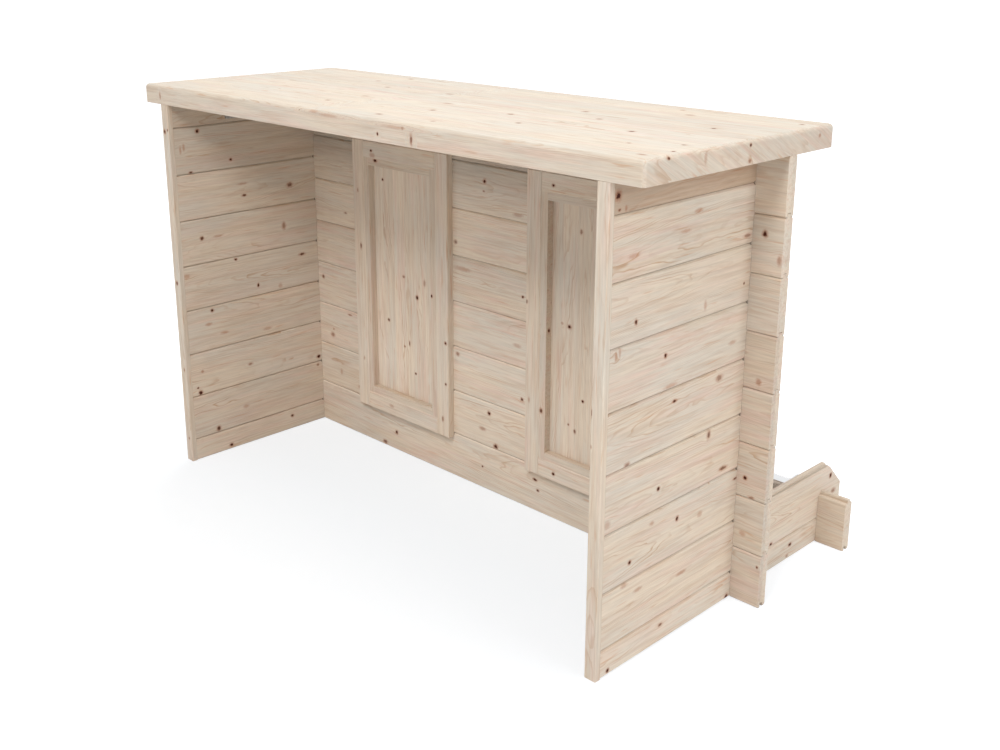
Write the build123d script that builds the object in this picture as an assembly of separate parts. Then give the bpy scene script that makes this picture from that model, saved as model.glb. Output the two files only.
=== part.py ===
import os

from build123d import *

# Garden bar in interlocking softwood boards, in millimetres.
# X runs along the bar, -Y is the server's open side, +Y is the guests' side with
# the foot rest, and Z is up from the ground.

# Wall boards
course = 121.0
board_thick = 28.0
course_count = 8
seam = 0.3
edge_chamfer = 3.5
tongue_width = 9.0
tongue_height = 8.0
tongue_chamfer = 1.5
groove_clear = 0.5
notch_clear = 0.3

# Plan of the bar
inside_width = 1404.0
side_depth = 447.0
end_run = 70.0
foot_gap = 324.0
batten_thick = 14.0
batten_chamfer = 1.5

# Countertop
top_thick = 47.0
top_overhang_end = 72.0
top_overhang_front = 127.0
top_edge_radius = 9.0
top_corner_radius = 8.0
top_under_chamfer = 1.0

# Framed panels in the front wall
panel_offset = 321.0
opening_width = 280.0
opening_sill_rise = 36.0
opening_head_drop = 30.0
casing_width = 45.0
casing_thick = 20.0
casing_chamfer = 2.0
lining_thick = 20.0
lining_setback = 2.0
panel_thick = 28.0
fit_gap = 0.3

# Foot rest
plate_corner_cut = 57.0
rail_diameter = 50.0
rail_wall = 2.0
rail_height = 138.0
rail_setback = 56.0
flange_diameter = 84.0
flange_thick = 4.0
collar_wall = 3.0
collar_length = 16.0

# Steel angles under the countertop
bracket_leg = 50.0
bracket_width = 45.0
bracket_thick = 2.5
bracket_from_end = 190.0

# Places worked out from the sizes above
wall_top = course * course_count
side_inner = inside_width / 2
side_outer = side_inner + board_thick
side_middle = side_inner + board_thick / 2
board_end = side_outer + end_run
total_depth = side_depth + 2 * board_thick + foot_gap + end_run
y_near = -total_depth / 2
y_front = y_near + side_depth
y_front_outer = y_front + board_thick
y_kick = y_front_outer + foot_gap
y_kick_outer = y_kick + board_thick
y_board_start = y_near + batten_thick + seam
y_rail = y_kick - rail_setback
notch_depth = course / 4
groove_width = tongue_width + 2 * groove_clear
groove_depth = tongue_height + seam + groove_clear
opening_sill = course + opening_sill_rise
opening_head = wall_top - course - opening_head_drop


def block(x_range, y_range, z_range):
    """Plain box between two corners."""
    size = [b - a for a, b in (x_range, y_range, z_range)]
    middle = [(a + b) / 2 for a, b in (x_range, y_range, z_range)]
    return Pos(*middle) * Box(*size)


def board_outline(low, high, tongue, groove):
    """Outline of a board's end, thickness across and height up."""
    half = board_thick / 2
    cut = edge_chamfer
    outline = [(-half, low + cut), (-half, high - cut), (-half + cut, high)]
    if tongue:
        side = tongue_width / 2
        tip = high + tongue_height
        outline += [(-side, high), (-side, tip - tongue_chamfer), (-side + tongue_chamfer, tip)]
        outline += [(side - tongue_chamfer, tip), (side, tip - tongue_chamfer), (side, high)]
    outline += [(half - cut, high), (half, high - cut), (half, low + cut), (half - cut, low)]
    if groove:
        side = groove_width / 2
        roof = low + groove_depth
        outline += [(side, low), (side, roof), (-side, roof), (-side, low)]
    outline += [(-half + cut, low)]
    return outline


def board_limits(low, high):
    """Heights of a board with half a seam taken off where another board meets it."""
    bottom = low if low <= 0 else low + seam / 2
    top = high if high >= wall_top else high - seam / 2
    return bottom, top


def board_along_x(x_start, x_end, y_middle, low, high, tongue=True, groove=True):
    """Board that runs along the bar."""
    bottom, top = board_limits(low, high)
    frame = Plane(origin=(x_start, y_middle, 0), x_dir=(0, 1, 0), z_dir=(1, 0, 0))
    face = make_face(Polyline(*board_outline(bottom, top, tongue, groove), close=True))
    return extrude(frame * face, x_end - x_start)


def board_along_y(y_start, y_end, x_middle, low, high, tongue=True, groove=True):
    """Board that runs from the server's side to the guests' side."""
    bottom, top = board_limits(low, high)
    frame = Plane(origin=(x_middle, y_end, 0), x_dir=(1, 0, 0), z_dir=(0, -1, 0))
    face = make_face(Polyline(*board_outline(bottom, top, tongue, groove), close=True))
    return extrude(frame * face, y_end - y_start)


def crossing_span(middle):
    """Width of a notch that a crossing board drops into."""
    reach = board_thick / 2 + notch_clear
    return middle - reach, middle + reach


def upper_notch(x_range, y_range, high):
    """Quarter of a course taken from the top of a board."""
    return block(x_range, y_range, (high - notch_depth - seam / 2, high + tongue_height + seam))


def lower_notch(x_range, y_range, low):
    """Quarter of a course taken from the underside of a board."""
    return block(x_range, y_range, (low - seam, low + notch_depth + seam / 2))


def across(middle):
    """Range that clears a board's thickness on both sides."""
    return middle - board_thick, middle + board_thick


def bar_board(y_middle, low, high, tongue=True):
    """Full-length board along the bar, notched where it crosses the two side walls."""
    board = board_along_x(-board_end, board_end, y_middle, low, high, tongue)
    for side in (-1, 1):
        span = crossing_span(side * side_middle)
        board -= upper_notch(span, across(y_middle), high)
        board -= lower_notch(span, across(y_middle), low)
    return board


def wall_openings():
    """Holes in the front wall that the two panel linings fill."""
    reach = opening_width / 2 + fit_gap
    heights = (opening_sill - fit_gap, opening_head + fit_gap)
    depth = (y_front - board_thick, y_front_outer + board_thick)
    left = block((-panel_offset - reach, -panel_offset + reach), depth, heights)
    right = block((panel_offset - reach, panel_offset + reach), depth, heights)
    return [left, right]


def front_wall_board(number):
    """One course of the front wall, cut where the panels stand."""
    low = course * (number - 1)
    high = course * number
    board = bar_board(y_front + board_thick / 2, low, high, tongue=number < course_count)
    for hole in wall_openings():
        if low < opening_head and high > opening_sill:
            board -= hole
    return board


def kick_board():
    """Board across the guests' side of the foot rest."""
    return bar_board(y_kick + board_thick / 2, 0, course)


def side_heights(number):
    """Heights of a side wall board; the first and last are half boards."""
    low = max(0, course * (number - 1.5))
    high = min(wall_top, course * (number - 0.5))
    return low, high


def side_wall_board(side, number):
    """One board of a side wall; the two lowest run on as foot rest sides."""
    low, high = side_heights(number)
    foot_rest = number <= 2
    y_end = y_kick_outer + end_run if foot_rest else y_front_outer + end_run
    x_middle = side * side_middle
    board = board_along_y(y_board_start, y_end, x_middle, low, high, high < wall_top, low > 0)
    front_span = crossing_span(y_front + board_thick / 2)
    kick_span = crossing_span(y_kick + board_thick / 2)
    if high < wall_top:
        board -= upper_notch(across(x_middle), front_span, high)
    if low > 0:
        board -= lower_notch(across(x_middle), front_span, low)
    if number == 1:
        board -= upper_notch(across(x_middle), kick_span, high)
    if number == 2:
        board -= lower_notch(across(x_middle), kick_span, low)
        board -= corner_cut(x_middle, y_end, high)
    return board


def corner_cut(x_middle, y_end, high):
    """Sloping wedge off the top corner of a foot rest side."""
    rise = tongue_height + plate_corner_cut
    frame = Plane(origin=(x_middle - board_thick, 0, 0), x_dir=(0, 1, 0), z_dir=(1, 0, 0))
    low_point = (y_end, high - plate_corner_cut)
    far_point = (y_end + rise, high - plate_corner_cut)
    high_point = (y_end + rise, high + rise)
    back_point = (y_end - plate_corner_cut - rise, high + rise)
    wedge = make_face(Polyline(low_point, far_point, high_point, back_point, close=True))
    return extrude(frame * wedge, 2 * board_thick)


def end_batten(side):
    """Upright strip that closes the ends of a side wall's boards."""
    x_range = (side * side_middle - board_thick / 2, side * side_middle + board_thick / 2)
    strip = block(x_range, (y_near, y_near + batten_thick), (0, wall_top))
    return chamfer(strip.edges().filter_by(Axis.Z).group_by(Axis.Y)[0], batten_chamfer)


def countertop():
    """Thick slab with rounded upper edges and corners."""
    x_reach = side_outer + top_overhang_end
    slab = block((-x_reach, x_reach), (y_near, y_front_outer + top_overhang_front),
                 (wall_top, wall_top + top_thick))
    slab = fillet(slab.edges().filter_by(Axis.Z), top_corner_radius)
    slab = chamfer(slab.edges().group_by(Axis.Z)[0], top_under_chamfer)
    return fillet(slab.edges().group_by(Axis.Z)[-1], top_edge_radius)


def ring_boards(x_middle, width, outer_low, outer_high, bar, y_range):
    """Two uprights with two cross pieces between them, round an open middle."""
    half = width / 2
    left = block((x_middle - half, x_middle - half + bar), y_range, (outer_low, outer_high))
    right = block((x_middle + half - bar, x_middle + half), y_range, (outer_low, outer_high))
    between = (x_middle - half + bar + fit_gap, x_middle + half - bar - fit_gap)
    foot = block(between, y_range, (outer_low, outer_low + bar))
    head = block(between, y_range, (outer_high - bar, outer_high))
    return [left, right, foot, head]


def panel_casing(side, outside):
    """Flat trim round a panel, on one face of the front wall."""
    outer_width = opening_width + 2 * casing_width
    y_range = (y_front - casing_thick, y_front)
    face = Axis.Y
    if outside:
        y_range = (y_front_outer, y_front_outer + casing_thick)
    pieces = ring_boards(side * panel_offset, outer_width, opening_sill - casing_width,
                         opening_head + casing_width, casing_width, y_range)
    row = -1 if outside else 0
    return [chamfer(piece.edges().group_by(face)[row], casing_chamfer) for piece in pieces]


def panel_lining(side):
    """Boards that line the hole through the wall, a little behind the casing faces."""
    stand = casing_thick - lining_setback
    y_range = (y_front - stand, y_front_outer + stand)
    return ring_boards(side * panel_offset, opening_width, opening_sill, opening_head,
                       lining_thick, y_range)


def panel_board(side):
    """Upright-grained panel that closes the lined opening."""
    half = opening_width / 2 - lining_thick - fit_gap
    x_range = (side * panel_offset - half, side * panel_offset + half)
    y_middle = y_front + board_thick / 2
    y_range = (y_middle - panel_thick / 2, y_middle + panel_thick / 2)
    heights = (opening_sill + lining_thick + fit_gap, opening_head - lining_thick - fit_gap)
    return block(x_range, y_range, heights)


def foot_rail():
    """Round steel tube between the foot rest sides."""
    length = inside_width - 2 * (flange_thick + fit_gap)
    bore = rail_diameter / 2 - rail_wall
    tube = Cylinder(rail_diameter / 2, length) - Cylinder(bore, length)
    return Pos(0, y_rail, rail_height) * Rot(0, 90, 0) * tube


def rail_flange(side):
    """Round plate and collar that hold one end of the rail."""
    collar_radius = rail_diameter / 2 + fit_gap
    plate = Pos(0, 0, flange_thick / 2) * Cylinder(flange_diameter / 2, flange_thick)
    rise = flange_thick + collar_length / 2
    collar = Pos(0, 0, rise) * Cylinder(collar_radius + collar_wall, collar_length)
    bore = Pos(0, 0, rise) * Cylinder(collar_radius, collar_length)
    seat = Pos(side * side_inner, y_rail, rail_height) * Rot(0, -90 * side, 0)
    return seat * (plate + collar - bore)


def counter_bracket(side):
    """Steel angle that ties the countertop to a side wall."""
    y_range = (y_near + bracket_from_end - bracket_width / 2,
               y_near + bracket_from_end + bracket_width / 2)
    wall_side = sorted((side * side_inner, side * (side_inner - bracket_thick)))
    top_side = sorted((side * side_inner, side * (side_inner - bracket_leg)))
    upright = block(wall_side, y_range, (wall_top - bracket_leg, wall_top))
    flat = block(top_side, y_range, (wall_top - bracket_thick, wall_top))
    return upright + flat


def save(name, shape):
    """Write one named piece, or a group of like pieces, as a file."""
    pieces = shape if isinstance(shape, list) else shape.solids()
    result = pieces[0] if len(pieces) == 1 else Compound(children=list(pieces))
    result.label = name
    export_step(result, f"parts/{name}.step")


def save_walls():
    for number in range(1, course_count + 1):
        save(f"front_wall_board_{number}", front_wall_board(number))
    for name, side in (("left", -1), ("right", 1)):
        for number in range(1, course_count + 2):
            save(f"{name}_wall_board_{number}", side_wall_board(side, number))
        save(f"{name}_end_batten", end_batten(side))


def save_panels():
    for name, side in (("left", -1), ("right", 1)):
        save(f"{name}_panel_inside_casing", panel_casing(side, outside=False))
        save(f"{name}_panel_outside_casing", panel_casing(side, outside=True))
        save(f"{name}_panel_lining", panel_lining(side))
        save(f"{name}_panel_board", panel_board(side))


def save_foot_rest():
    save("kick_board", kick_board())
    save("foot_rail", foot_rail())
    for name, side in (("left", -1), ("right", 1)):
        save(f"{name}_rail_flange", rail_flange(side))


def save_counter():
    save("countertop", countertop())
    for name, side in (("left", -1), ("right", 1)):
        save(f"{name}_counter_bracket", counter_bracket(side))


os.makedirs("parts", exist_ok=True)
save_walls()
save_panels()
save_foot_rest()
save_counter()
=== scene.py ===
import math
import random

import bmesh
import bpy
from mathutils import Matrix, Vector


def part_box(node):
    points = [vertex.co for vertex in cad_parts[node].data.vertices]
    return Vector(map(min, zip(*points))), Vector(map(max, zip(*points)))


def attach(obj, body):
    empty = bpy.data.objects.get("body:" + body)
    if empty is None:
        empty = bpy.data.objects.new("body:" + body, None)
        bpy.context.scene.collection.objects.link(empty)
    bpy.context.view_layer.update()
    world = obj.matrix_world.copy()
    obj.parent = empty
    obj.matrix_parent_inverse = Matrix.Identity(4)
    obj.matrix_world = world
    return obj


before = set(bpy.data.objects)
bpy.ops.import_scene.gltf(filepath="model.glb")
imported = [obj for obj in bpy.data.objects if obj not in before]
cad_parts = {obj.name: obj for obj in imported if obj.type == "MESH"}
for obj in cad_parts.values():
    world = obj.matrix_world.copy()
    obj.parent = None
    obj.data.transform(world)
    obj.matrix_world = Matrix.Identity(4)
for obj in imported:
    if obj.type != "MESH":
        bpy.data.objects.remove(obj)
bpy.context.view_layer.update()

# Spruce garden bar in metres: X along it, -Y the server's open side, +Y the guests' side, Z up

# Viewpoint
CAMERA_PLACE = Vector((1.9811, -1.9789, 1.347))
CAMERA_TURN = math.radians(45.31)
CAMERA_DIP = math.radians(16.41)
CAMERA_LENS = 42.74
CAMERA_SHIFT = (0.01415, -0.07802)

# Light and studio floor; each lamp has its place, size and power
DOME_STRENGTH = 0.40
LAMPS = {
    "high_lamp": ((1.2, -3.6, 4.4), 1.8, 151.0),
    "end_lamp": ((4.4, 0.3, 2.2), 2.6, 63.0),
    "ceiling_lamp": ((0.0, 0.2, 4.6), 3.0, 58.0),
    "guest_side_lamp": ((-2.6, 2.8, 2.6), 3.0, 60.0),
}
LAMP_AIM = Vector((0.0, 0.0, 0.5))
FLOOR_REACH = 60.0
FLOOR_MIDDLE = (0.0, -0.35, 0.0)
FLOOR_NEAR, FLOOR_FAR = 0.65, 1.5
FLOOR_GLOW_NEAR, FLOOR_GLOW_FAR = 0.61, 1.0
FLOOR_SHADE = (0.400, 0.414, 0.428)
FLOOR_SHADE_IN_BAY = (0.380, 0.414, 0.450)
BAY_START, BAY_END = -0.70, -0.20
FLOOR_BOUNCE = 0.80

# Wall boards
COURSE = 0.121
BOARD_FACE = 0.014
TONGUE_HALF = 0.0045

# Joints between wall boards, with painted shade at each groove's root and in the holes, and a
# painted highlight on each lower arris: start and full strength of each, and how strong it is
GROOVE_MOUTH = (0.0015, 0.0035)
GROOVE_FLOOR = (0.0010, 0.0030)
ROOT_BELOW, ROOT_ABOVE = (-0.0010, 0.0002), (0.0030, 0.0012)
ROOT_PAINTED_SHADE = 0.40
ARRIS_BELOW, ARRIS_ABOVE = (-0.0042, -0.0034), (-0.0006, -0.0014)
ARRIS_DEPTH = (0.0040, 0.0030)
ARRIS_PAINTED_HIGHLIGHT = -0.30
HOLE_REACH, HOLE_HEIGHT = (0.0050, 0.0025), (0.0045, 0.0020)
HOLE_PAINTED_SHADE = 0.8

# Casings, linings, glued staves, and the slanting grain on the countertop's ends
CASING_WIDTH = 0.045
LINING_WIDTH = 0.020
PANEL_STAVE = 0.043
TOP_STAVE = 0.050
END_SLANT = math.radians(30)
END_ROUND = 0.004

# Plates of the rail's flanges and of the brackets, and the screws in them
FLANGE_THICK = 0.004
BRACKET_THICK = 0.0025
SCREW_HEAD = 0.0075
SCREW_RISE = 0.0024
SCREW_SOCKET = 0.0022
SCREW_SIDES = 28
SOCKET_TAPER = 0.0001
SOCKET_DEPTH, RIM_ROUND = 0.6 * SCREW_RISE, 0.55 * SCREW_RISE
FLANGE_SCREW_CIRCLE = 0.035
BRACKET_SCREW_SPOTS = ((0.015, -0.011), (0.036, 0.011))

# Colours of planed spruce, as linear red, green and blue
SILVER_CAST = (0.662, 0.592, 0.502)
STRAW_CAST = (0.705, 0.600, 0.480)
PINK_CAST = (0.698, 0.538, 0.448)
LATE_WOOD = (0.500, 0.310, 0.185)
RED_STREAK = (0.570, 0.325, 0.185)
KNOT_HALO = (0.400, 0.150, 0.065)
KNOT_HEART = (0.055, 0.012, 0.005)

# Planed spruce: how much of each colour shows, its gloss and the relief of its grain
STREAK_AMOUNT = 0.30
RED_AMOUNT = 0.55
GRAIN_CONTRAST = 0.44
# Strength of the painted joint shade and highlight in the wood's colour
JOINT_PAINTED_SHADING = 0.8
WOOD_GLOSS = 0.3
WOOD_DULLNESS, GRAIN_DULLNESS, KNOT_DULLNESS = 0.50, 0.16, 0.30
GRAIN_BUMP, GRAIN_RELIEF = 0.35, 0.0003

# Steel's haze and zinc's flakes: their size, darkness, dullness and relief
FLAKE_SCALE = 160.0
FLAKE_SHADE = 0.72
FLAKE_DULLNESS, HAZE_DULLNESS = 0.3, 0.14
HAZE_BUMP, HAZE_RELIEF = 0.10, 0.0001

MM = 0.001

# Boards that are paler or darker than the rest, partly in their own tone and partly as painted shade
# under the countertop and painted light lower down and in the bay; a wall board only on its face to
# -Y or +X
FAR_TONE = 1.0
FACE_BLEND = 0.004
TONES_AND_PAINTED_LIGHT = {
    "left_wall_board_9": 0.81, "left_wall_board_8": 0.88, "left_end_batten": 0.94,
    "front_wall_board_7": 1.05, "front_wall_board_6": 1.10, "front_wall_board_5": 1.03,
    "front_wall_board_4": 1.02, "front_wall_board_3": 1.02, "right_wall_board_9": 0.86,
    "right_wall_board_8": 0.96, "right_wall_board_3": 1.05, "right_wall_board_2": 1.10,
    "right_wall_board_1": 1.10, "kick_board": 1.03, "countertop": 0.98,
    "left_panel_inside_casing": 1.09, "left_panel_board": 1.13, "left_panel_lining": 0.98,
    "right_panel_inside_casing": 1.08, "right_panel_board": 1.12, "right_panel_lining": 0.98,
}

# Painted warm shade on the board under the countertop, and painted light on the countertop's upper
# face
PAINTED_WARM_SHADE = {"right_wall_board_9": (0.84, 0.74, 0.67)}
PAINTED_TOP_LIGHT = (0.990, 1.025, 1.045)
PALE_START, PALE_FULL = 0.003, 0.001

# Front wall, painted light and shade: a paler middle, lighter or darker free ends, and a painted
# shadow under the countertop
MIDDLE_PAINTED_LIGHT = 1.10
MIDDLE_START, MIDDLE_END = 0.50, 0.15
TOP_PAINTED_SHADE = 0.67
TOP_SHADE_START, TOP_SHADE_FULL = 0.740, 0.845
END_PAINTED_LIGHT = {"front_wall_board_8": 1.08, "front_wall_board_7": 0.98}
OTHER_END_PAINTED_SHADE = 0.885
END_START, END_FULL = 0.705, 0.725

# Knots, in the bar's frame in mm: along the grain, across it, half length, half width, darkness
KNOTS = {
    "right_wall_board_1": [(-412, 10, 5, 5, 1.0), (-248, 39, 7, 4, 0.7), (-14, 6, 7, 6, 1.0),
                           (238, 35, 7, 5, 0.9), (228, 10, 6, 4, 0.5)],
    "right_wall_board_2": [(-370, 176, 9, 4, 0.4), (-327, 151, 11, 4, 0.4),
                           (-185, 131, 14, 4, 0.45), (155, 66, 6, 5, 1.0),
                           (400, 155, 6, 7, 1.0), (418, 110, 10, 6, 0.6)],
    "right_wall_board_3": [(-356, 220, 5, 5, 1.0), (-208, 260, 5, 6, 1.0),
                           (-290, 279, 7, 4, 0.35), (-130, 243, 7, 6, 0.3), (-8, 281, 8, 3, 0.8)],
    "right_wall_board_4": [(-274, 347, 5, 5, 1.0), (-56, 320, 13, 5, 0.7),
                           (-114, 411, 6, 10, 0.7), (-427, 324, 8, 7, 0.3)],
    "right_wall_board_5": [(-375, 428, 8, 6, 0.6), (-235, 517, 7, 4, 0.9), (-88, 526, 11, 7, 0.6)],
    "right_wall_board_6": [(-270, 617, 5, 5, 1.0), (-250, 552, 18, 4, 0.35),
                           (-50, 591, 11, 4, 0.3), (-417, 650, 3, 9, 0.4),
                           (-406, 656, 3, 8, 0.35)],
    "right_wall_board_7": [(-363, 703, 5, 6, 1.0), (-21, 708, 3, 3, 0.8), (-150, 690, 4, 9, 0.25)],
    "right_wall_board_8": [(-187, 881, 11, 4, 0.4), (-20, 805, 12, 4, 0.6), (-225, 848, 14, 3, 0.3),
                           (-375, 828, 14, 4, 0.3)],
    "right_wall_board_9": [(-424, 942, 8, 9, 1.0), (-420, 917, 4, 3, 0.7), (-402, 917, 3, 5, 0.45)],
    "left_wall_board_1": [(-116, 40, 6, 5, 0.8), (-325, 12, 7, 5, 0.9)],
    "left_wall_board_2": [(-362, 72, 7, 8, 0.8), (-18, 172, 5, 4, 0.6), (-270, 112, 9, 5, 0.3)],
    "left_wall_board_3": [(-410, 190, 7, 7, 1.0), (-417, 204, 4, 4, 0.9), (-14, 197, 7, 6, 1.0),
                          (-248, 232, 8, 4, 0.6), (-400, 249, 4, 4, 0.5)],
    "left_wall_board_4": [(-358, 412, 5, 5, 1.0), (-370, 376, 9, 4, 0.4), (-185, 322, 12, 4, 0.3),
                          (-325, 342, 11, 4, 0.35)],
    "left_wall_board_5": [(-275, 538, 5, 4, 1.0), (-57, 514, 11, 4, 0.8), (-208, 453, 4, 6, 1.0),
                          (-427, 518, 9, 6, 0.35), (-135, 437, 6, 6, 0.35)],
    "left_wall_board_6": [(-374, 613, 6, 6, 0.8), (-114, 605, 6, 11, 0.6), (-325, 612, 14, 3, 0.35)],
    "left_wall_board_7": [(-88, 717, 10, 7, 0.7), (-237, 709, 8, 4, 0.8), (-240, 741, 14, 3, 0.4)],
    "left_wall_board_8": [(-367, 895, 6, 6, 1.0), (-272, 810, 5, 4, 1.0), (-419, 851, 3, 9, 0.4),
                          (-409, 857, 3, 8, 0.35), (-393, 791, 6, 3, 0.8)],
    "left_wall_board_9": [(120, 940, 6, 5, 0.9)],
    "front_wall_board_1": [(-370, 53, 6, 6, 1.0), (-420, 10, 9, 6, 0.7), (155, 84, 8, 4, 0.9),
                           (-30, 60, 4, 3, 0.9), (165, 58, 5, 4, 0.8), (793, 95, 3, 4, 0.8)],
    "front_wall_board_2": [(-6, 214, 6, 6, 1.0), (18, 130, 8, 7, 1.0), (-30, 165, 11, 5, 0.5),
                           (-525, 145, 8, 6, 0.5), (752, 159, 7, 5, 0.35), (-610, 170, 5, 7, 0.3)],
    "front_wall_board_3": [(108, 283, 5, 5, 1.0), (-120, 345, 7, 5, 0.6), (-645, 275, 9, 7, 0.6),
                           (-640, 292, 4, 4, 0.5), (-563, 352, 9, 3, 0.6), (750, 287, 5, 5, 1.0),
                           (767, 247, 8, 4, 0.6)],
    "front_wall_board_4": [(-680, 442, 6, 6, 0.7), (-210, 460, 6, 5, 0.6), (90, 418, 12, 4, 0.3)],
    "front_wall_board_5": [(108, 545, 4, 4, 0.9), (-100, 575, 26, 5, 0.3), (766, 504, 6, 7, 0.5)],
    "front_wall_board_6": [(-125, 640, 6, 5, 0.6), (-567, 645, 7, 3, 0.6), (560, 680, 6, 5, 0.9)],
    "front_wall_board_7": [(-22, 808, 6, 6, 1.0), (-25, 783, 4, 3, 0.6), (90, 742, 14, 4, 0.35),
                           (758, 810, 6, 7, 1.0), (794, 762, 5, 10, 0.5)],
    "front_wall_board_8": [(-640, 900, 6, 5, 0.8), (420, 905, 6, 5, 0.8)],
    "kick_board": [(-510, 60, 6, 5, 1.0), (-120, 88, 5, 5, 0.8), (330, 40, 7, 5, 0.9),
                   (620, 75, 9, 4, 0.5)],
    "right_end_batten": [(545, 703, 9, 2, 0.8), (480, 704, 4, 2, 0.5)],
    "left_end_batten": [(900, -720, 6, 5, 1.0), (905, -707, 4, 3, 0.8), (503, -716, 6, 5, 1.0),
                        (262, -713, 6, 3, 0.6), (65, -714, 4, 3, 0.6)],
    "left_panel_board": [(760, -405, 4, 4, 1.0), (510, -327, 4, 5, 0.6), (463, -275, 6, 6, 1.0),
                         (508, -245, 10, 4, 0.5), (376, -392, 5, 5, 0.8),
                         (328, -308, 7, 3, 0.7), (315, -328, 3, 4, 0.6), (248, -285, 4, 4, 0.9)],
    "right_panel_board": [(504, 257, 6, 6, 1.0), (508, 235, 3, 4, 0.4), (735, 287, 6, 4, 0.6),
                          (332, 303, 4, 4, 1.0), (262, 260, 3, 3, 0.7), (250, 280, 6, 4, 0.7)],
    "left_panel_inside_casing": [(837, -425, 4, 5, 1.0), (825, -421, 6, 9, 0.35),
                                 (571, -478, 9, 4, 0.7),
                                 (724, -485, 6, 3, 0.5), (250, -478, 6, 3, 0.4),
                                 (372, -145, 5, 5, 1.0), (260, -145, 4, 4, 0.8),
                                 (160, -158, 8, 4, 0.6), (138, -365, 4, 8, 0.3)],
    "right_panel_inside_casing": [(834, 219, 4, 5, 0.9), (132, 233, 5, 5, 1.0),
                                  (545, 140, 5, 4, 0.6), (300, 150, 7, 3, 0.4)],
    "left_panel_lining": [(812, -412, 5, 8, 1.0), (824, -421, 4, 7, 0.6),
                          (487, -198, 5, 4, 1.0)],
    "right_panel_lining": [(282, 188, 7, 5, 0.8)],
    "right_panel_lining edge": [(484, -10, 6, 4, 1.0)],
    "countertop": [(-398, 98, 8, 6, 0.57), (-298, -66, 8, 6, 0.62), (-85, -55, 14, 6, 0.52),
                   (40, -177, 12, 6, 0.47), (-195, -220, 10, 5, 0.47), (-195, -330, 8, 6, 0.57),
                   (100, -277, 8, 7, 0.62), (68, -398, 9, 6, 0.62), (262, -206, 9, 6, 0.62),
                   (225, -390, 6, 5, 0.52), (345, -65, 9, 7, 0.57), (362, -287, 7, 6, 0.67),
                   (438, -130, 8, 6, 0.57), (532, 48, 10, 7, 0.47), (589, -216, 7, 7, 0.77),
                   (676, -75, 6, 6, 0.77), (754, -277, 5, 5, 0.67), (782, -345, 4, 5, 0.77),
                   (672, -328, 5, 4, 0.57), (475, 100, 6, 5, 0.52), (-425, 10, 9, 6, 0.47),
                   (766, 92, 6, 5, 0.67), (764, -408, 9, 5, 0.52)],
    "countertop edge": [(122, 985, 3, 4, 0.9), (225, 984, 4, 11, 0.7), (-730, 989, 3, 9, 0.6),
                        (172, 1004, 28, 3, 0.2), (199, 1004, 5, 3, 0.5), (-92, 1010, 14, 3, 0.2),
                        (-40, 1006, 28, 3, 0.15)],
    "countertop end": [(-383, 1010, 5, 3, 0.8), (-140, 1005, 4, 4, 0.9), (-140, 976, 5, 4, 0.6),
                       (100, 997, 4, 4, 0.5), (-278, 998, 4, 9, 0.25)],
}


def look_camera():
    """Camera at the photograph's angle."""
    data = bpy.data.cameras.new("viewpoint")
    data.lens = CAMERA_LENS
    data.shift_x, data.shift_y = CAMERA_SHIFT
    data.clip_end = 2 * FLOOR_REACH
    camera = bpy.data.objects.new("viewpoint", data)
    camera.location = CAMERA_PLACE
    camera.rotation_euler = (math.pi / 2 - CAMERA_DIP, 0, CAMERA_TURN)
    bpy.context.scene.collection.objects.link(camera)
    bpy.context.scene.camera = camera


def wire(tree, source, target):
    """Link a socket, or set a plain value, on an input socket."""
    if isinstance(source, bpy.types.NodeSocket):
        tree.links.new(source, target)
    elif source is not None:
        target.default_value = source


def add(tree, kind, inputs=(), **settings):
    """New node with its settings, and its inputs linked or set by name or number."""
    made = tree.nodes.new(kind)
    for name, value in settings.items():
        setattr(made, name, value)
    for name, value in dict(inputs).items():
        wire(tree, value, made.inputs[name])
    return made


def calc(tree, operation, a, b=None, c=None):
    """Number worked out from up to three others."""
    return add(tree, "ShaderNodeMath", {0: a, 1: b, 2: c}, operation=operation).outputs[0]


def turn(tree, operation, a, b=None):
    """Vector, or its length, worked out from one or two others."""
    made = add(tree, "ShaderNodeVectorMath", {0: a, 1: b}, operation=operation)
    return made.outputs["Value" if operation == "LENGTH" else "Vector"]


def fade(tree, value, start, end, low=0.0, high=1.0):
    """Smooth step from low to high as the value goes from start to end."""
    names = {"Value": value, "From Min": start, "From Max": end, "To Min": low, "To Max": high}
    return add(tree, "ShaderNodeMapRange", names, interpolation_type="SMOOTHSTEP").outputs[0]


def blend(tree, amount, a, b):
    """Colour between two others."""
    made = add(tree, "ShaderNodeMix", data_type="RGBA")
    wire(tree, amount, made.inputs[0])
    for value, socket in ((a, made.inputs[6]), (b, made.inputs[7])):
        wire(tree, (*value, 1.0) if isinstance(value, tuple) else value, socket)
    return made.outputs[2]


def grainy(tree, place, stretch, detail=2.0, rough=0.55):
    """Noise, finer along the axes with a large stretch."""
    scaled = turn(tree, "MULTIPLY", place, stretch)
    values = {"Vector": scaled, "Scale": 1.0, "Detail": detail, "Roughness": rough}
    return add(tree, "ShaderNodeTexNoise", values).outputs["Fac"]


def parts_of(tree, vector):
    """The three numbers of a vector."""
    return add(tree, "ShaderNodeSeparateXYZ", {0: vector}).outputs


def joined(tree, x=0.0, y=0.0, z=0.0):
    """Vector of three numbers."""
    return add(tree, "ShaderNodeCombineXYZ", {0: x, 1: y, 2: z}).outputs[0]


def drift(tree, place, seed, reach):
    """Slow wander of the tree's heart along the board, to each side of zero."""
    values = {"W": calc(tree, "ADD", place, seed), "Scale": 1.0, "Detail": 1.0}
    noise = add(tree, "ShaderNodeTexNoise", values, noise_dimensions="1D").outputs["Fac"]
    return calc(tree, "MULTIPLY", calc(tree, "SUBTRACT", noise, 0.5), reach)


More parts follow.
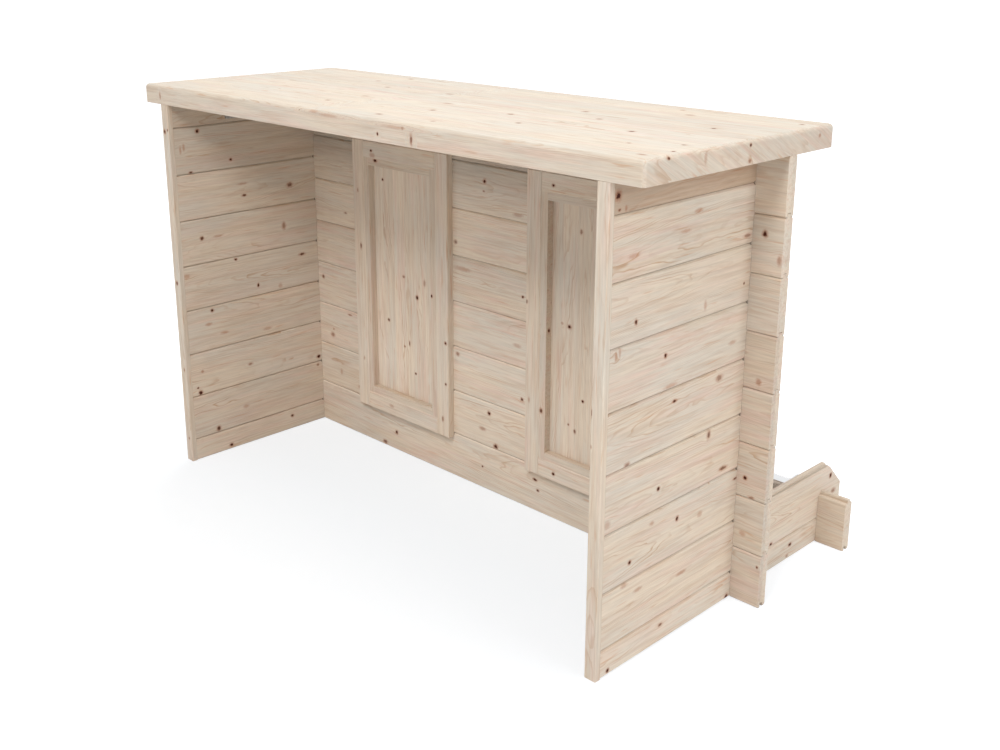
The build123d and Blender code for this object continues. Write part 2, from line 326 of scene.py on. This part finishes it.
def new_group(name, inputs, outputs):
    """Empty node group with its sockets; numbers unless the name says otherwise."""
    tree = bpy.data.node_groups.new(name, "ShaderNodeTree")
    vectors = ("Place", "Plain place", "Centre", "Reach", "Heart place")
    for direction, names in (("INPUT", inputs), ("OUTPUT", outputs)):
        for label in names:
            kind = "NodeSocketVector" if label in vectors else "NodeSocketFloat"
            kind = "NodeSocketColor" if label == "Colour" else kind
            tree.interface.new_socket(label, in_out=direction, socket_type=kind)
    given = tree.nodes.new("NodeGroupInput")
    result = tree.nodes.new("NodeGroupOutput")
    return tree, given.outputs, result.inputs


def knot_group():
    """One knot: its dark heart, the brown wood round it and how far the grain bends."""
    tree, given, result = new_group(
        "knot", ("Place", "Centre", "Reach", "Dark", "Ragged", "Heart", "Halo"),
        ("Place", "Heart", "Halo"))
    away = turn(tree, "SUBTRACT", given["Place"], given["Centre"])
    scaled = turn(tree, "MULTIPLY", away, given["Reach"])
    near = calc(tree, "ADD", turn(tree, "LENGTH", scaled), given["Ragged"])
    heart = calc(tree, "MULTIPLY", fade(tree, near, 0.95, 0.35),
                 fade(tree, given["Dark"], 0.35, 0.95))
    halo = calc(tree, "MULTIPLY", fade(tree, near, 1.7, 0.45),
                calc(tree, "MULTIPLY_ADD", given["Dark"], 0.45, 0.30))
    wide = turn(tree, "LENGTH", turn(tree, "MULTIPLY", scaled, (0.20, 0.36, 0.36)))
    push = fade(tree, wide, 1.0, 0.0, 0.0, -0.85)
    sideways = turn(tree, "MULTIPLY", away, (0.0, 1.0, 0.0))
    bend = add(tree, "ShaderNodeVectorMath", {0: sideways, "Scale": push}, operation="SCALE")
    wire(tree, turn(tree, "ADD", given["Place"], bend.outputs[0]), result["Place"])
    wire(tree, calc(tree, "MAXIMUM", given["Heart"], heart), result["Heart"])
    wire(tree, calc(tree, "MAXIMUM", given["Halo"], halo), result["Halo"])
    return tree


def stave_group():
    """Glued staves side by side, each with its own heart, seed, tone and warmth."""
    tree, given, result = new_group("glued_staves", ("Place", "Stave width", "Seed", "Tone"),
                                    ("Heart place", "Seed", "Tone", "Cast"))
    across = parts_of(tree, given["Place"])[1]
    number = calc(tree, "FLOOR", calc(tree, "DIVIDE", across, given["Stave width"]))
    own = calc(tree, "MULTIPLY_ADD", number, 3.7, given["Seed"])
    dice = add(tree, "ShaderNodeTexWhiteNoise", {"W": own}, noise_dimensions="1D")
    first, second, third = parts_of(tree, dice.outputs["Color"])
    middle = calc(tree, "MULTIPLY", calc(tree, "ADD", number, 0.5), given["Stave width"])
    aside = calc(tree, "ADD", middle, calc(tree, "MULTIPLY_ADD", first, 0.08, -0.04))
    deep = calc(tree, "MULTIPLY_ADD", second, 0.05, 0.025)
    wire(tree, joined(tree, 0.0, aside, deep), result["Heart place"])
    wire(tree, own, result["Seed"])
    tone = calc(tree, "MULTIPLY", calc(tree, "MULTIPLY_ADD", third, 0.07, 0.965), given["Tone"])
    wire(tree, tone, result["Tone"])
    wire(tree, calc(tree, "MULTIPLY_ADD", second, 0.9, 0.1), result["Cast"])
    return tree


def year_lines(tree, given):
    """Thin dark late wood of each year, in rings round the tree's heart."""
    along, across, deep = parts_of(tree, given["Place"])
    heart = parts_of(tree, given["Heart place"])
    waver = grainy(tree, given["Place"], (9.0, 34.0, 34.0), 2.0)
    waver = calc(tree, "MULTIPLY", calc(tree, "SUBTRACT", waver, 0.5), 0.010)
    slow = calc(tree, "MULTIPLY", along, 1.3)
    side = calc(tree, "ADD", calc(tree, "SUBTRACT", across, heart[1]),
                drift(tree, slow, given["Seed"], 0.06))
    depth = calc(tree, "ADD", calc(tree, "SUBTRACT", deep, heart[2]),
                 drift(tree, slow, calc(tree, "ADD", given["Seed"], 37.0), 0.02))
    reach = calc(tree, "ADD", turn(tree, "LENGTH", joined(tree, 0.0, side, depth)), waver)
    reach = calc(tree, "MULTIPLY_ADD", along, given["Taper"], reach)
    rings = calc(tree, "DIVIDE", reach, given["Ring width"])
    part = calc(tree, "FRACT", rings)
    late = calc(tree, "MULTIPLY", fade(tree, part, 0.58, 0.94), fade(tree, part, 1.0, 0.95))
    year = add(tree, "ShaderNodeTexNoise", {"W": calc(tree, "ADD", rings, given["Seed"]),
                                            "Scale": 0.45, "Detail": 1.0}, noise_dimensions="1D")
    return calc(tree, "MULTIPLY", late, fade(tree, year.outputs["Fac"], 0.35, 0.65, 0.15, 1.3))


def spruce_group():
    """Planed spruce in a board's own space: X along the grain, Y across and Z deep."""
    tree, given, result = new_group(
        "planed_spruce", ("Place", "Plain place", "Heart place", "Ring width", "Taper", "Seed",
                          "Figure", "Tone", "Cast", "Heart", "Halo", "Shade"),
        ("Colour", "Roughness", "Height"))
    shift = joined(tree, given["Seed"], given["Seed"])
    place = turn(tree, "ADD", given["Place"], shift)
    plain = turn(tree, "ADD", given["Plain place"], shift)
    hair = grainy(tree, plain, (12.0, 250.0, 250.0), 3.0, 0.65)
    cloud = fade(tree, grainy(tree, place, (3.5, 13.0, 13.0), 2.0), 0.34, 0.66)
    pink = fade(tree, grainy(tree, place, (4.5, 42.0, 42.0), 3.0, 0.6), 0.44, 0.72)
    streak = fade(tree, grainy(tree, place, (6.0, 120.0, 120.0), 3.0, 0.65), 0.44, 0.70)
    rare = fade(tree, grainy(tree, place, (11.0, 140.0, 140.0), 2.0), 0.61, 0.75)
    patch = fade(tree, grainy(tree, place, (4.0, 24.0, 24.0), 2.0), 0.42, 0.64, 0.2, 1.0)
    line = calc(tree, "MULTIPLY", calc(tree, "MULTIPLY", year_lines(tree, given), patch),
                given["Figure"])
    colour = blend(tree, cloud, SILVER_CAST, STRAW_CAST)
    colour = blend(tree, calc(tree, "MULTIPLY", pink, given["Cast"]), colour, PINK_CAST)
    colour = blend(tree, calc(tree, "MULTIPLY", streak, STREAK_AMOUNT), colour, LATE_WOOD)
    colour = blend(tree, calc(tree, "MULTIPLY", rare, RED_AMOUNT), colour, RED_STREAK)
    colour = blend(tree, line, colour, LATE_WOOD)
    shade = calc(tree, "MULTIPLY_ADD", calc(tree, "SUBTRACT", hair, 0.5), GRAIN_CONTRAST,
                 given["Tone"])
    # Painted joint shade darkens the colour here; a negative value, the painted arris highlight,
    # lightens it
    joint = calc(tree, "MULTIPLY_ADD", given["Shade"], -JOINT_PAINTED_SHADING, 1.0)
    shade = calc(tree, "MULTIPLY", shade, joint)
    colour = turn(tree, "MULTIPLY", colour, joined(tree, shade, shade, shade))
    colour = blend(tree, given["Halo"], colour, KNOT_HALO)
    colour = blend(tree, given["Heart"], colour, KNOT_HEART)
    wire(tree, colour, result["Colour"])
    dull = calc(tree, "MULTIPLY_ADD", hair, GRAIN_DULLNESS, WOOD_DULLNESS)
    dull = calc(tree, "MULTIPLY_ADD", given["Heart"], KNOT_DULLNESS, dull)
    wire(tree, dull, result["Roughness"])
    wire(tree, hair, result["Height"])
    return tree


def new_material(name):
    """Empty material with its principled shader."""
    material = bpy.data.materials.new(name)
    material.use_nodes = True
    tree = material.node_tree
    tree.nodes.clear()
    shader = tree.nodes.new("ShaderNodeBsdfPrincipled")
    output = tree.nodes.new("ShaderNodeOutputMaterial")
    tree.links.new(shader.outputs[0], output.inputs["Surface"])
    return material, tree, shader


def grain_space(tree, centre, grain, across):
    """The bar's space turned so that X runs along the grain, from the piece's middle."""
    axes = {"X": Vector((1, 0, 0)), "Y": Vector((0, 1, 0)), "Z": Vector((0, 0, 1))}
    rows = Matrix((axes[grain], axes[across], axes[grain].cross(axes[across])))
    source = add(tree, "ShaderNodeTexCoord").outputs["Object"]
    values = {"Vector": source, "Location": -(rows @ centre), "Rotation": rows.to_euler()}
    return add(tree, "ShaderNodeMapping", values).outputs[0]


def middle_of(node):
    """Middle of a piece of the frame."""
    low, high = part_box(node)
    return (low + high) / 2


def knot_spots(node, centre, grain, across):
    """Place, reach and darkness of each knot, on the board's face, its edge and its end."""
    index = {"X": 0, "Y": 1, "Z": 2}
    deep = next(axis for axis in index if axis not in (grain, across))
    sides = ((node, (grain, 0), (across, 1)), (node + " edge", (grain, 0), (deep, 2)),
             (node + " end", (across, 1), (deep, 2)))
    for key, first, second in sides:
        for one, two, half_one, half_two, dark in KNOTS.get(key, []):
            spot, reach = [0.0, 0.0, 0.0], [0.0, 0.0, 0.0]
            for (axis, slot), value, half in ((first, one, half_one), (second, two, half_two)):
                spot[slot] = value * MM - centre[index[axis]]
                reach[slot] = 1 / (half * MM)
            yield spot, reach, dark


def knots_on(tree, place, node, centre, grain, across):
    """Chain of the piece's knots: the place bent round them, their hearts and their halos."""
    ragged = grainy(tree, place, (170.0, 170.0, 170.0), 1.0)
    ragged = calc(tree, "MULTIPLY_ADD", ragged, 0.8, -0.4)
    heart, halo = 0.0, 0.0
    for spot, reach, dark in knot_spots(node, centre, grain, across):
        values = {"Place": place, "Centre": spot, "Reach": reach, "Dark": dark,
                  "Ragged": ragged, "Heart": heart, "Halo": halo}
        knot = add(tree, "ShaderNodeGroup", node_tree=GROUPS["knot"])
        for name, value in values.items():
            wire(tree, value, knot.inputs[name])
        place, heart, halo = knot.outputs
    return place, heart, halo


def cross_grain(tree, place, inner_half):
    """Grain laid crosswise in a frame's head and foot, which lie between its uprights."""
    along, across, deep = parts_of(tree, place)
    between = calc(tree, "LESS_THAN", calc(tree, "ABSOLUTE", across), inner_half)
    made = add(tree, "ShaderNodeMix", {0: between, 4: place, 5: joined(tree, across, along, deep)},
               data_type="VECTOR")
    return made.outputs[1]


def slanting_ends(tree, place, half_length):
    """Grain laid on a slant across the two ends of a board."""
    along, across, deep = parts_of(tree, place)
    lean, rise = math.cos(END_SLANT), math.sin(END_SLANT)
    down = calc(tree, "MULTIPLY_ADD", across, lean, calc(tree, "MULTIPLY", deep, -rise))
    up = calc(tree, "MULTIPLY_ADD", across, rise, calc(tree, "MULTIPLY", deep, lean))
    at_end = calc(tree, "GREATER_THAN", calc(tree, "ABSOLUTE", along), half_length - END_ROUND)
    made = add(tree, "ShaderNodeMix", {0: at_end, 4: place, 5: joined(tree, down, up, along)},
               data_type="VECTOR")
    return made.outputs[1]


def painted_joint_shading(tree, place, centre, side_wall):
    """Painted shade at the joints' roots and in the holes where they meet the front wall, and a
    painted highlight on the lower board's arris.
    """
    along, aside, deep = parts_of(tree, place)
    height = calc(tree, "ADD", aside, centre.z)
    phase = calc(tree, "MULTIPLY_ADD", height, 1 / COURSE, 0.0 if side_wall else 0.5)
    above = calc(tree, "MULTIPLY_ADD", calc(tree, "FRACT", phase), COURSE, -0.5 * COURSE)
    deep = calc(tree, "ABSOLUTE", deep)
    groove = calc(tree, "MULTIPLY",
                  fade(tree, deep, *(BOARD_FACE - depth for depth in GROOVE_MOUTH)),
                  fade(tree, deep, *(TONGUE_HALF + depth for depth in GROOVE_FLOOR)))
    root = calc(tree, "MULTIPLY", fade(tree, above, *ROOT_BELOW),
                fade(tree, above, *ROOT_ABOVE, 0.0, ROOT_PAINTED_SHADE))
    arris_highlight = ARRIS_PAINTED_HIGHLIGHT if side_wall else 0.5 * ARRIS_PAINTED_HIGHLIGHT
    arris = calc(tree, "MULTIPLY", fade(tree, above, *ARRIS_BELOW),
                 fade(tree, above, *ARRIS_ABOVE, 0.0, arris_highlight))
    face = fade(tree, deep, *(BOARD_FACE - depth for depth in ARRIS_DEPTH))
    shade = calc(tree, "MULTIPLY_ADD", root, groove, calc(tree, "MULTIPLY", arris, face))
    if not side_wall:
        return shade
    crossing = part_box("front_wall_board_2")
    middle = (crossing[0].y + crossing[1].y) / 2
    across_wall = calc(tree, "ADD", along, centre.y - middle)
    foot_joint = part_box("right_wall_board_2")[1].z
    covered = calc(tree, "MAXIMUM", calc(tree, "LESS_THAN", across_wall, BOARD_FACE),
                   calc(tree, "LESS_THAN", height, foot_joint))
    shade = calc(tree, "MULTIPLY", shade, covered)
    beside = calc(tree, "ABSOLUTE", across_wall)
    hole = calc(tree, "MULTIPLY",
                fade(tree, beside, *(BOARD_FACE + reach for reach in HOLE_REACH)),
                fade(tree, calc(tree, "ABSOLUTE", above), *HOLE_HEIGHT, 0.0, HOLE_PAINTED_SHADE))
    return calc(tree, "MAXIMUM", shade, hole)


def front_wall_painted_light(tree, place, node, centre):
    """Painted light and shade on a front wall board: its paler middle, a painted shadow under the
    top and its free ends.
    """
    along, aside = parts_of(tree, place)[:2]
    outward = calc(tree, "ABSOLUTE", along)
    middle = fade(tree, outward, MIDDLE_START, MIDDLE_END, 1.0, MIDDLE_PAINTED_LIGHT)
    height = calc(tree, "ADD", aside, centre.z)
    shade = fade(tree, height, TOP_SHADE_START, TOP_SHADE_FULL, 1.0, TOP_PAINTED_SHADE)
    inside = calc(tree, "MULTIPLY", middle, shade)
    return fade(tree, outward, END_START, END_FULL, inside, END_PAINTED_LIGHT.get(node, OTHER_END_PAINTED_SHADE))


def wall_tone_and_painted_light(tree, tone, place, node, centre, side_wall):
    """Tone of a wall board's face to -Y or +X, with painted light and shade there, and FAR_TONE on
    its other face.
    """
    if not side_wall:
        tone = calc(tree, "MULTIPLY", tone, front_wall_painted_light(tree, place, node, centre))
    deep = parts_of(tree, place)[2]
    return fade(tree, deep, -FACE_BLEND, FACE_BLEND, FAR_TONE, tone)


def paint_top_light(tree, colour, place, half_thick):
    """Colour of the countertop, with painted light on its upper face."""
    deep = parts_of(tree, place)[2]
    upper = fade(tree, deep, half_thick - PALE_START, half_thick - PALE_FULL)
    return turn(tree, "MULTIPLY", colour, blend(tree, upper, (1.0, 1.0, 1.0), PAINTED_TOP_LIGHT))


def own_wood(node, chance, figure):
    """A board's own rings, tone and warmth."""
    side = chance.choice((-1, 1))
    return {"Heart place": (0.0, chance.uniform(-0.04, 0.04), side * chance.uniform(0.03, 0.06)),
            "Ring width": chance.uniform(0.0024, 0.0034), "Seed": chance.uniform(0, 90),
            "Taper": chance.choice((-1, 1)) * chance.uniform(0.015, 0.04),
            "Figure": figure * chance.uniform(0.8, 1.2),
            "Tone": TONES_AND_PAINTED_LIGHT.get(node, 1.0) * chance.uniform(0.97, 1.03),
            "Cast": chance.uniform(0.3, 1.0)}


def board_material(node, grain, across, seed, figure=0.55, frame_bar=None, stave=None,
                   side_wall=None, slant_ends=False):
    """Spruce, as one board, a frame of boards or glued staves, with painted light and shade where
    listed.
    """
    material, tree, shader = new_material("spruce_" + node)
    centre = middle_of(node)
    straight = grain_space(tree, centre, grain, across)
    place, heart, halo = knots_on(tree, straight, node, centre, grain, across)
    plain = straight
    values = own_wood(node, random.Random(seed), figure)
    if frame_bar:
        low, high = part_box(node)
        inner_half = (high.x - low.x) / 2 - frame_bar
        place = cross_grain(tree, place, inner_half)
        plain = cross_grain(tree, plain, inner_half)
    if slant_ends:
        half_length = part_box(node)[1].x
        place = slanting_ends(tree, place, half_length)
        plain = slanting_ends(tree, plain, half_length)
    if stave:
        staves = add(tree, "ShaderNodeGroup", node_tree=GROUPS["staves"])
        given = {"Place": plain, "Stave width": stave, "Seed": values["Seed"],
                 "Tone": values["Tone"]}
        for name, value in given.items():
            wire(tree, value, staves.inputs[name])
        values.update(staves.outputs.items())
    if side_wall is not None:
        # Painted shade and highlight at the joints, and painted light and shade on the board's face
        values["Shade"] = painted_joint_shading(tree, plain, centre, side_wall)
        # Painted light and shade on the wall board's face to -Y or +X only
        values["Tone"] = wall_tone_and_painted_light(tree, values["Tone"], plain, node, centre, side_wall)
    values.update({"Place": place, "Plain place": plain, "Heart": heart, "Halo": halo})
    wood = add(tree, "ShaderNodeGroup", node_tree=GROUPS["spruce"])
    for name, value in values.items():
        wire(tree, value, wood.inputs[name])
    bump = add(tree, "ShaderNodeBump", {"Strength": GRAIN_BUMP, "Distance": GRAIN_RELIEF,
                                        "Height": wood.outputs["Height"]})
    colour = wood.outputs["Colour"]
    # Painted light on the countertop's upper face
    if slant_ends:
        colour = paint_top_light(tree, colour, straight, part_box(node)[1].z - centre.z)
    # Painted warm shade on a board under the countertop
    if node in PAINTED_WARM_SHADE:
        colour = turn(tree, "MULTIPLY", colour, PAINTED_WARM_SHADE[node])
    wire(tree, colour, shader.inputs["Base Color"])
    wire(tree, wood.outputs["Roughness"], shader.inputs["Roughness"])
    wire(tree, bump.outputs[0], shader.inputs["Normal"])
    shader.inputs["Specular IOR Level"].default_value = WOOD_GLOSS
    return material


def dress(node, material):
    """Give a piece of the frame its finish."""
    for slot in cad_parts[node].material_slots:
        slot.link = "OBJECT"
        slot.material = material


def dress_walls():
    for number in range(1, 9):
        node = f"front_wall_board_{number}"
        dress(node, board_material(node, "X", "Z", 100 + number, side_wall=False))
    dress("kick_board", board_material("kick_board", "X", "Z", 120))
    for seed, side in ((200, "left"), (300, "right")):
        for number in range(1, 10):
            node = f"{side}_wall_board_{number}"
            dress(node, board_material(node, "Y", "Z", seed + number, side_wall=True))
        node = f"{side}_end_batten"
        dress(node, board_material(node, "Z", "X", seed + 20, 0.5))


def dress_panels():
    for seed, side in ((400, "left"), (500, "right")):
        for number, piece in enumerate(("inside_casing", "outside_casing")):
            node = f"{side}_panel_{piece}"
            dress(node, board_material(node, "Z", "X", seed + number, 0.6, CASING_WIDTH))
        node = f"{side}_panel_lining"
        dress(node, board_material(node, "Z", "X", seed + 2, 0.6, LINING_WIDTH))
        node = f"{side}_panel_board"
        dress(node, board_material(node, "Z", "X", seed + 3, 0.6, stave=PANEL_STAVE))


def dress_countertop():
    dress("countertop", board_material("countertop", "X", "Y", 600, 0.5, stave=TOP_STAVE,
                                       slant_ends=True))


def steel_material(name, tint, dullness, worn):
    """Steel with a faint haze, such as a polished tube or a zinc-coated bracket has."""
    material, tree, shader = new_material(name)
    source = add(tree, "ShaderNodeTexCoord").outputs["Object"]
    haze = grainy(tree, source, (5.0, 420.0, 420.0), 3.0)
    spangle = add(tree, "ShaderNodeTexVoronoi", {"Vector": source, "Scale": FLAKE_SCALE})
    flake = add(tree, "ShaderNodeSeparateColor", {0: spangle.outputs["Color"]}).outputs[0]
    patch = calc(tree, "MULTIPLY", flake, worn)
    dark_tint = tuple(FLAKE_SHADE * value for value in tint)
    wire(tree, blend(tree, patch, tint, dark_tint), shader.inputs["Base Color"])
    rough = calc(tree, "MULTIPLY_ADD", haze, HAZE_DULLNESS, dullness)
    rough = calc(tree, "MULTIPLY_ADD", patch, FLAKE_DULLNESS, rough)
    wire(tree, rough, shader.inputs["Roughness"])
    brushed = add(tree, "ShaderNodeBump", {"Strength": HAZE_BUMP, "Distance": HAZE_RELIEF,
                                           "Height": haze})
    wire(tree, brushed.outputs[0], shader.inputs["Normal"])
    shader.inputs["Metallic"].default_value = 1.0
    return material


def screws(name, material, spots):
    """Pan heads with a sunk socket, each at a place on a face and pointing out of it."""
    heads = bmesh.new()
    for place, facing in spots:
        facing = Vector(facing)
        seat = Matrix.Translation(place) @ facing.to_track_quat("Z", "Y").to_matrix().to_4x4()
        seat = seat @ Matrix.Translation((0, 0, SCREW_RISE / 2))
        made = bmesh.ops.create_cone(heads, cap_ends=True, segments=SCREW_SIDES,
                                     radius1=SCREW_HEAD / 2, radius2=SCREW_HEAD / 2,
                                     depth=SCREW_RISE, matrix=seat)
        heads.normal_update()
        faces = {face for corner in made["verts"] for face in corner.link_faces}
        top = max(faces, key=lambda face: face.normal.dot(facing))
        rim = list(top.edges)
        bmesh.ops.inset_individual(heads, faces=[top], thickness=SCREW_HEAD / 2 - SCREW_SOCKET,
                                   depth=0.0)
        bmesh.ops.inset_individual(heads, faces=[top], thickness=SOCKET_TAPER,
                                   depth=-SOCKET_DEPTH)
        bmesh.ops.bevel(heads, geom=rim, offset=RIM_ROUND, affect="EDGES", segments=4,
                        profile=0.5, material=-1)
    mesh = bpy.data.meshes.new(name)
    heads.to_mesh(mesh)
    heads.free()
    mesh.shade_smooth()
    mesh.set_sharp_from_angle(angle=math.radians(40))
    mesh.materials.append(material)
    piece = bpy.data.objects.new(name, mesh)
    bpy.context.scene.collection.objects.link(piece)
    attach(piece, "root")


def flange_spots(node, inward):
    """Four places round a rail flange's plate, on its open face."""
    low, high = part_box(node)
    middle = (low + high) / 2
    face = (low.x if inward > 0 else high.x) + inward * FLANGE_THICK
    for quarter in range(4):
        angle = math.radians(45 + 90 * quarter)
        aside, up = math.cos(angle), math.sin(angle)
        place = Vector((face, middle.y + FLANGE_SCREW_CIRCLE * aside,
                        middle.z + FLANGE_SCREW_CIRCLE * up))
        yield place, (inward, 0, 0)


def bracket_spots(node, inward):
    """Two places on each leg of a bracket."""
    low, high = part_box(node)
    middle = (low + high) / 2
    wall = low.x if inward > 0 else high.x
    for out, aside in BRACKET_SCREW_SPOTS:
        yield (Vector((wall + inward * BRACKET_THICK, middle.y + aside, high.z - out)),
               (inward, 0, 0))
        yield (Vector((wall + inward * out, middle.y - aside, high.z - BRACKET_THICK)),
               (0, 0, -1))


def dress_steel():
    polished = steel_material("polished_steel", (0.83, 0.84, 0.85), 0.05, 0.0)
    coated = steel_material("zinc_coat", (0.62, 0.63, 0.64), 0.30, 0.8)
    dress("foot_rail", polished)
    for side, inward in (("left", 1), ("right", -1)):
        flange, bracket = f"{side}_rail_flange", f"{side}_counter_bracket"
        dress(flange, polished)
        dress(bracket, coated)
        screws(f"{side}_flange_screws", polished, flange_spots(flange, inward))
        screws(f"{side}_bracket_screws", coated, bracket_spots(bracket, inward))


def seen_directly(tree):
    """One for rays from the camera, from gloss and through glass, and zero for the rest."""
    path = add(tree, "ShaderNodeLightPath").outputs
    direct = calc(tree, "MAXIMUM", path["Is Camera Ray"], path["Is Glossy Ray"])
    return calc(tree, "MAXIMUM", direct, path["Is Transmission Ray"])


def studio_floor():
    """Plain white floor that keeps the bar's soft shadow."""
    mesh = bpy.data.meshes.new("studio_floor")
    plane = bmesh.new()
    bmesh.ops.create_grid(plane, x_segments=1, y_segments=1, size=FLOOR_REACH)
    plane.to_mesh(mesh)
    plane.free()
    floor = bpy.data.objects.new("studio_floor", mesh)
    bpy.context.scene.collection.objects.link(floor)
    material = bpy.data.materials.new("floor_white")
    material.use_nodes = True
    tree = material.node_tree
    tree.nodes.clear()
    source = add(tree, "ShaderNodeTexCoord").outputs["Object"]
    away = turn(tree, "LENGTH", turn(tree, "SUBTRACT", source, FLOOR_MIDDLE))
    glow = fade(tree, away, FLOOR_NEAR, FLOOR_FAR, FLOOR_GLOW_NEAR, FLOOR_GLOW_FAR)
    glow = add(tree, "ShaderNodeEmission", {"Strength": glow})
    in_bay = fade(tree, parts_of(tree, source)[1], BAY_START, BAY_END)
    shade = blend(tree, in_bay, FLOOR_SHADE, FLOOR_SHADE_IN_BAY)
    shade = add(tree, "ShaderNodeBsdfDiffuse", {"Color": shade})
    shown = add(tree, "ShaderNodeAddShader", {0: glow.outputs[0], 1: shade.outputs[0]})
    bounce = add(tree, "ShaderNodeBsdfDiffuse", {"Color": (FLOOR_BOUNCE,) * 3 + (1.0,)})
    choice = add(tree, "ShaderNodeMixShader", {0: seen_directly(tree), 1: bounce.outputs[0],
                                               2: shown.outputs[0]})
    output = tree.nodes.new("ShaderNodeOutputMaterial")
    tree.links.new(choice.outputs[0], output.inputs["Surface"])
    mesh.materials.append(material)


def studio_dome():
    """Even white surroundings."""
    world = bpy.data.worlds.new("studio_dome")
    world.use_nodes = True
    tree = world.node_tree
    tree.nodes.clear()
    strength = fade(tree, seen_directly(tree), 0.0, 1.0, DOME_STRENGTH, 1.0)
    back = add(tree, "ShaderNodeBackground", {"Color": (1.0, 1.0, 1.0, 1.0), "Strength": strength})
    output = tree.nodes.new("ShaderNodeOutputWorld")
    tree.links.new(back.outputs[0], output.inputs["Surface"])
    bpy.context.scene.world = world


def soft_lamps():
    """Large soft lamps round the bar, all aimed at its middle."""
    for name, (place, size, power) in LAMPS.items():
        data = bpy.data.lights.new(name, "AREA")
        data.shape = "SQUARE"
        data.size = size
        data.energy = power
        lamp = bpy.data.objects.new(name, data)
        lamp.location = place
        aim = LAMP_AIM - Vector(place)
        lamp.rotation_euler = aim.to_track_quat("-Z", "Y").to_euler()
        lamp.visible_glossy = False
        bpy.context.scene.collection.objects.link(lamp)


GROUPS = {"knot": knot_group(), "staves": stave_group(), "spruce": spruce_group()}
bpy.context.scene.view_settings.view_transform = "Standard"
look_camera()
studio_dome()
studio_floor()
soft_lamps()
dress_walls()
dress_panels()
dress_countertop()
dress_steel()
